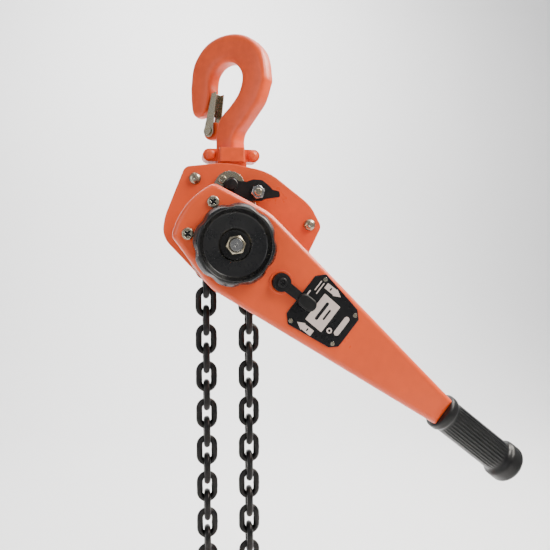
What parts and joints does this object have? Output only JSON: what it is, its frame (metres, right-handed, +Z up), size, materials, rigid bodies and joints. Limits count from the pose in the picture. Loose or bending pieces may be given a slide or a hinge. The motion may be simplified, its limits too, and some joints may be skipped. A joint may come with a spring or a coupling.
{
  "type": "lever chain hoist",
  "caption": "Lever chain hoist with a swivelling top hook, ratchet lever, free-chain handwheel, geared load sheave, link chain, load hook and chain end ring.",
  "frame": {"origin": "saddle of the top hook, where the load bears, on the hook's swivel axis", "axes": "+Z up, +X to the right seen from the handwheel, -Y towards the handwheel"},
  "size_m": [0.395, 0.1446, 0.806],
  "materials": {
    "orange_paint": "gloss",
    "black_oxide": "satin",
    "zinc_plate": "satin",
    "machined_steel": "satin",
    "friction_lining": "matte",
    "bronze": "satin",
    "grip_rubber": "matte"
  },
  "bodies": {
    "top_hook": {"top_hook": "orange_paint", "top_latch_pin": "zinc_plate"},
    "top_latch": {"top_latch": "zinc_plate"},
    "frame": {"yoke_front": "orange_paint", "yoke_rear": "orange_paint", "yoke_rivets": "zinc_plate", "top_pin": "machined_steel", "front_side_plate": "orange_paint", "rear_side_plate": "orange_paint", "stay_bolts": "zinc_plate", "stay_nuts": "zinc_plate", "chain_guide": "black_oxide", "chain_stripper": "machined_steel", "bearing_races": "machined_steel", "bearing_balls": "machined_steel", "gear_cover": "orange_paint", "gear_cover_screws": "zinc_plate", "brake_cover": "zinc_plate", "brake_cover_screws": "zinc_plate", "pawl_stud": "zinc_plate", "pawl_nut": "zinc_plate", "pawl_spring": "zinc_plate", "chain_on_sheave": "black_oxide"},
    "lever": {"lever_front_shell": "orange_paint", "lever_rear_shell": "orange_paint", "lever_tang": "zinc_plate", "lever_screws": "zinc_plate", "lever_grip": "grip_rubber", "rating_plate": "black_oxide", "rating_plate_rivets": "zinc_plate"},
    "selector": {"selector_lever": "black_oxide", "change_pawl": "machined_steel", "selector_screw": "zinc_plate"},
    "load_sheave": {"load_sheave": "machined_steel", "load_gear": "machined_steel"},
    "disc_gear_right": {"disc_gear_right": "machined_steel"},
    "disc_gear_left": {"disc_gear_left": "machined_steel"},
    "drive_shaft": {"drive_shaft": "machined_steel", "friction_hub": "machined_steel", "friction_discs": "friction_lining", "change_gear": "machined_steel", "handwheel": "black_oxide", "handwheel_washer": "zinc_plate", "handwheel_nut": "zinc_plate"},
    "ratchet_disc": {"ratchet_disc": "machined_steel", "ratchet_bush": "bronze"},
    "check_pawl": {"check_pawl": "black_oxide", "pawl_knob": "black_oxide"},
    "load_chain": {"load_chain": "black_oxide"},
    "load_block": {"load_block_front": "orange_paint", "load_block_rear": "orange_paint", "load_chain_pin": "machined_steel", "load_block_rivets": "zinc_plate"},
    "load_hook": {"load_hook": "orange_paint", "load_latch_pin": "zinc_plate"},
    "load_latch": {"load_latch": "zinc_plate"},
    "slack_chain": {"slack_chain": "black_oxide"},
    "end_ring": {"end_ring": "black_oxide"}
  },
  "joints": [
    {"name": "top_latch_pivot", "type": "hinge", "parent": "top_hook", "child": "top_latch", "pos_m": [-0.01838, 0.01543, -0.071], "axis": [0.6428, 0.766, 0], "range_deg": [0, 24], "stiffness_Nm_per_rad": 0.02, "springref_deg": -34.38},
    {"name": "hook_swivel", "type": "hinge", "parent": "top_hook", "child": "frame", "pos_m": [0, 0, -0.1], "axis": [0, 0, 1], "continuous": true},
    {"name": "lever_turn", "type": "hinge", "parent": "frame", "child": "lever", "pos_m": [-0.004, 0, -0.198], "axis": [0, 1, 0], "continuous": true},
    {"name": "selector_turn", "type": "hinge", "parent": "lever", "child": "selector", "pos_m": [0.04289, -0.073, -0.23543], "axis": [0, 1, 0], "range_deg": [-30, 30]},
    {"name": "sheave_turn", "type": "hinge", "parent": "frame", "child": "load_sheave", "pos_m": [-0.004, 0, -0.198], "axis": [0, 1, 0], "continuous": true, "deforming": ["chain_on_sheave"]},
    {"name": "disc_gear_right_turn", "type": "hinge", "parent": "frame", "child": "disc_gear_right", "pos_m": [0.02772, 0.03, -0.21279], "axis": [0, 1, 0], "continuous": true},
    {"name": "disc_gear_left_turn", "type": "hinge", "parent": "frame", "child": "disc_gear_left", "pos_m": [-0.03572, 0.03, -0.18321], "axis": [0, 1, 0], "continuous": true},
    {"name": "drive_shaft_turn", "type": "hinge", "parent": "frame", "child": "drive_shaft", "pos_m": [-0.004, 0, -0.198], "axis": [0, 1, 0], "continuous": true},
    {"name": "ratchet_turn", "type": "hinge", "parent": "frame", "child": "ratchet_disc", "pos_m": [-0.004, 0, -0.198], "axis": [0, 1, 0], "continuous": true},
    {"name": "check_pawl_turn", "type": "hinge", "parent": "frame", "child": "check_pawl", "pos_m": [0.0244, -0.034, -0.1426], "axis": [0, 1, 0], "range_deg": [0, 10], "stiffness_Nm_per_rad": 0.05, "springref_deg": -28.65},
    {"name": "load_chain_swing", "type": "hinge", "parent": "frame", "child": "load_chain", "pos_m": [0.0199, 0, -0.24588], "axis": [1, 0, 0], "range_deg": [-18, 18]},
    {"name": "load_block_tilt", "type": "hinge", "parent": "load_chain", "child": "load_block", "pos_m": [0.0199, 0, -0.60298], "axis": [0, 1, 0], "range_deg": [-20, 20]},
    {"name": "load_hook_swivel", "type": "hinge", "parent": "load_block", "child": "load_hook", "pos_m": [0.0199, 0, -0.64597], "axis": [0, 0, 1], "continuous": true},
    {"name": "load_latch_pivot", "type": "hinge", "parent": "load_hook", "child": "load_latch", "pos_m": [-0.0041, 0, -0.67497], "axis": [0, -1, 0], "range_deg": [0, 24], "stiffness_Nm_per_rad": 0.02, "springref_deg": -34.38},
    {"name": "slack_chain_swing", "type": "hinge", "parent": "frame", "child": "slack_chain", "pos_m": [-0.0279, 0, -0.24588], "axis": [1, 0, 0], "range_deg": [-18, 18]},
    {"name": "end_ring_swing", "type": "hinge", "parent": "slack_chain", "child": "end_ring", "pos_m": [-0.0279, 0, -0.60337], "axis": [0, 1, 0], "range_deg": [-24, 40]}
  ],
  "couplings": [
    {"joint": "disc_gear_right_turn", "follows": "sheave_turn", "ratio": -2.3333},
    {"joint": "disc_gear_left_turn", "follows": "sheave_turn", "ratio": -2.3333},
    {"joint": "drive_shaft_turn", "follows": "sheave_turn", "ratio": 5.4444}
  ]
}
